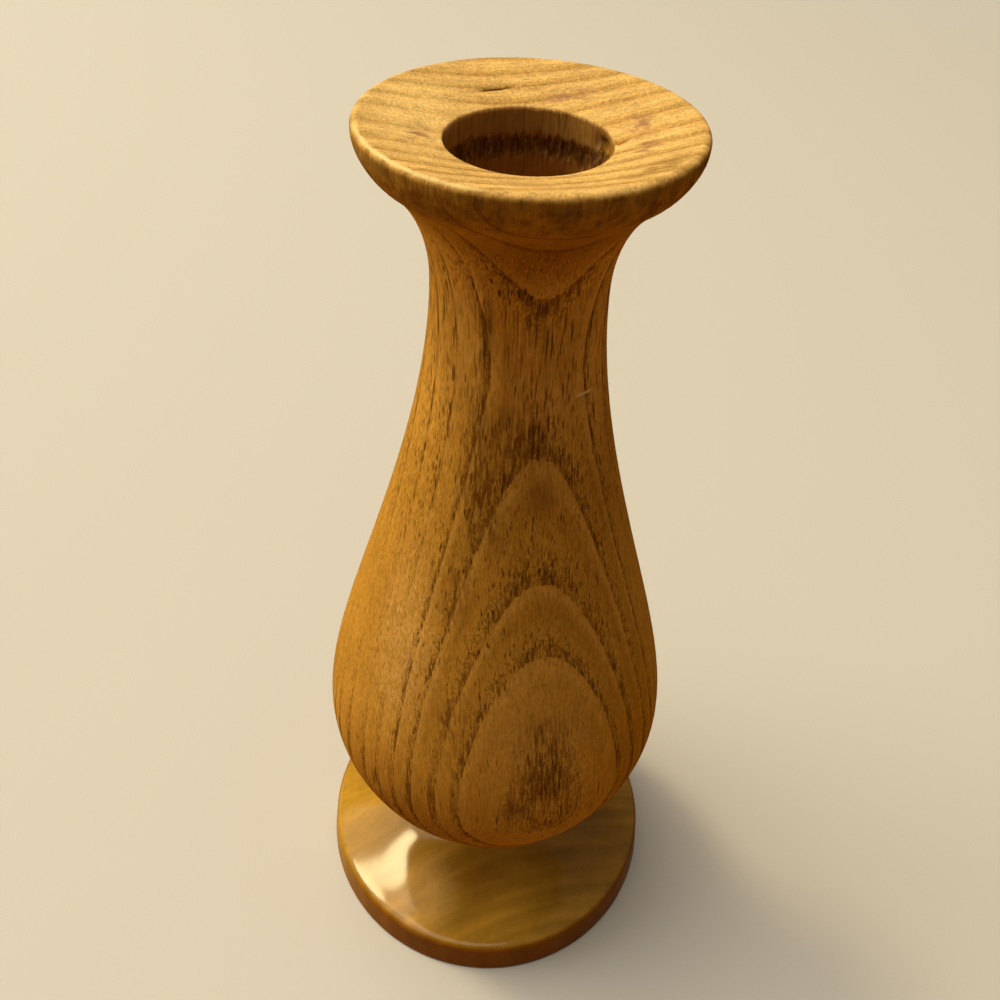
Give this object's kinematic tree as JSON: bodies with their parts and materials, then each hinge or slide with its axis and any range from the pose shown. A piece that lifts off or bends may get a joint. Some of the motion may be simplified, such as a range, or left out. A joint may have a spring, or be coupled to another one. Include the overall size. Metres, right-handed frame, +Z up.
{
  "type": "wooden bud vase",
  "caption": "Turned wooden bud vase: a pear-shaped hollow body with a slim neck and a dished, flared rim, glued by a dowel to a round foot.",
  "frame": {"origin": "centre of the flat face that the foot stands on", "axes": "+Z up along the turning axis, towards the mouth; +X to the right and -Y towards the viewer in the picture"},
  "size_m": [0.0642, 0.0642, 0.15],
  "materials": {
    "body_wood": "satin, oiled ring-porous hardwood with vertical grain",
    "foot_wood": "semi-gloss lacquer on the same hardwood, end grain on top",
    "dowel_wood": "bare, unfinished hardwood dowel"
  },
  "bodies": {
    "root": {"vase_body": "body_wood", "foot": "foot_wood", "foot_dowel": "dowel_wood"}
  },
  "joints": []
}
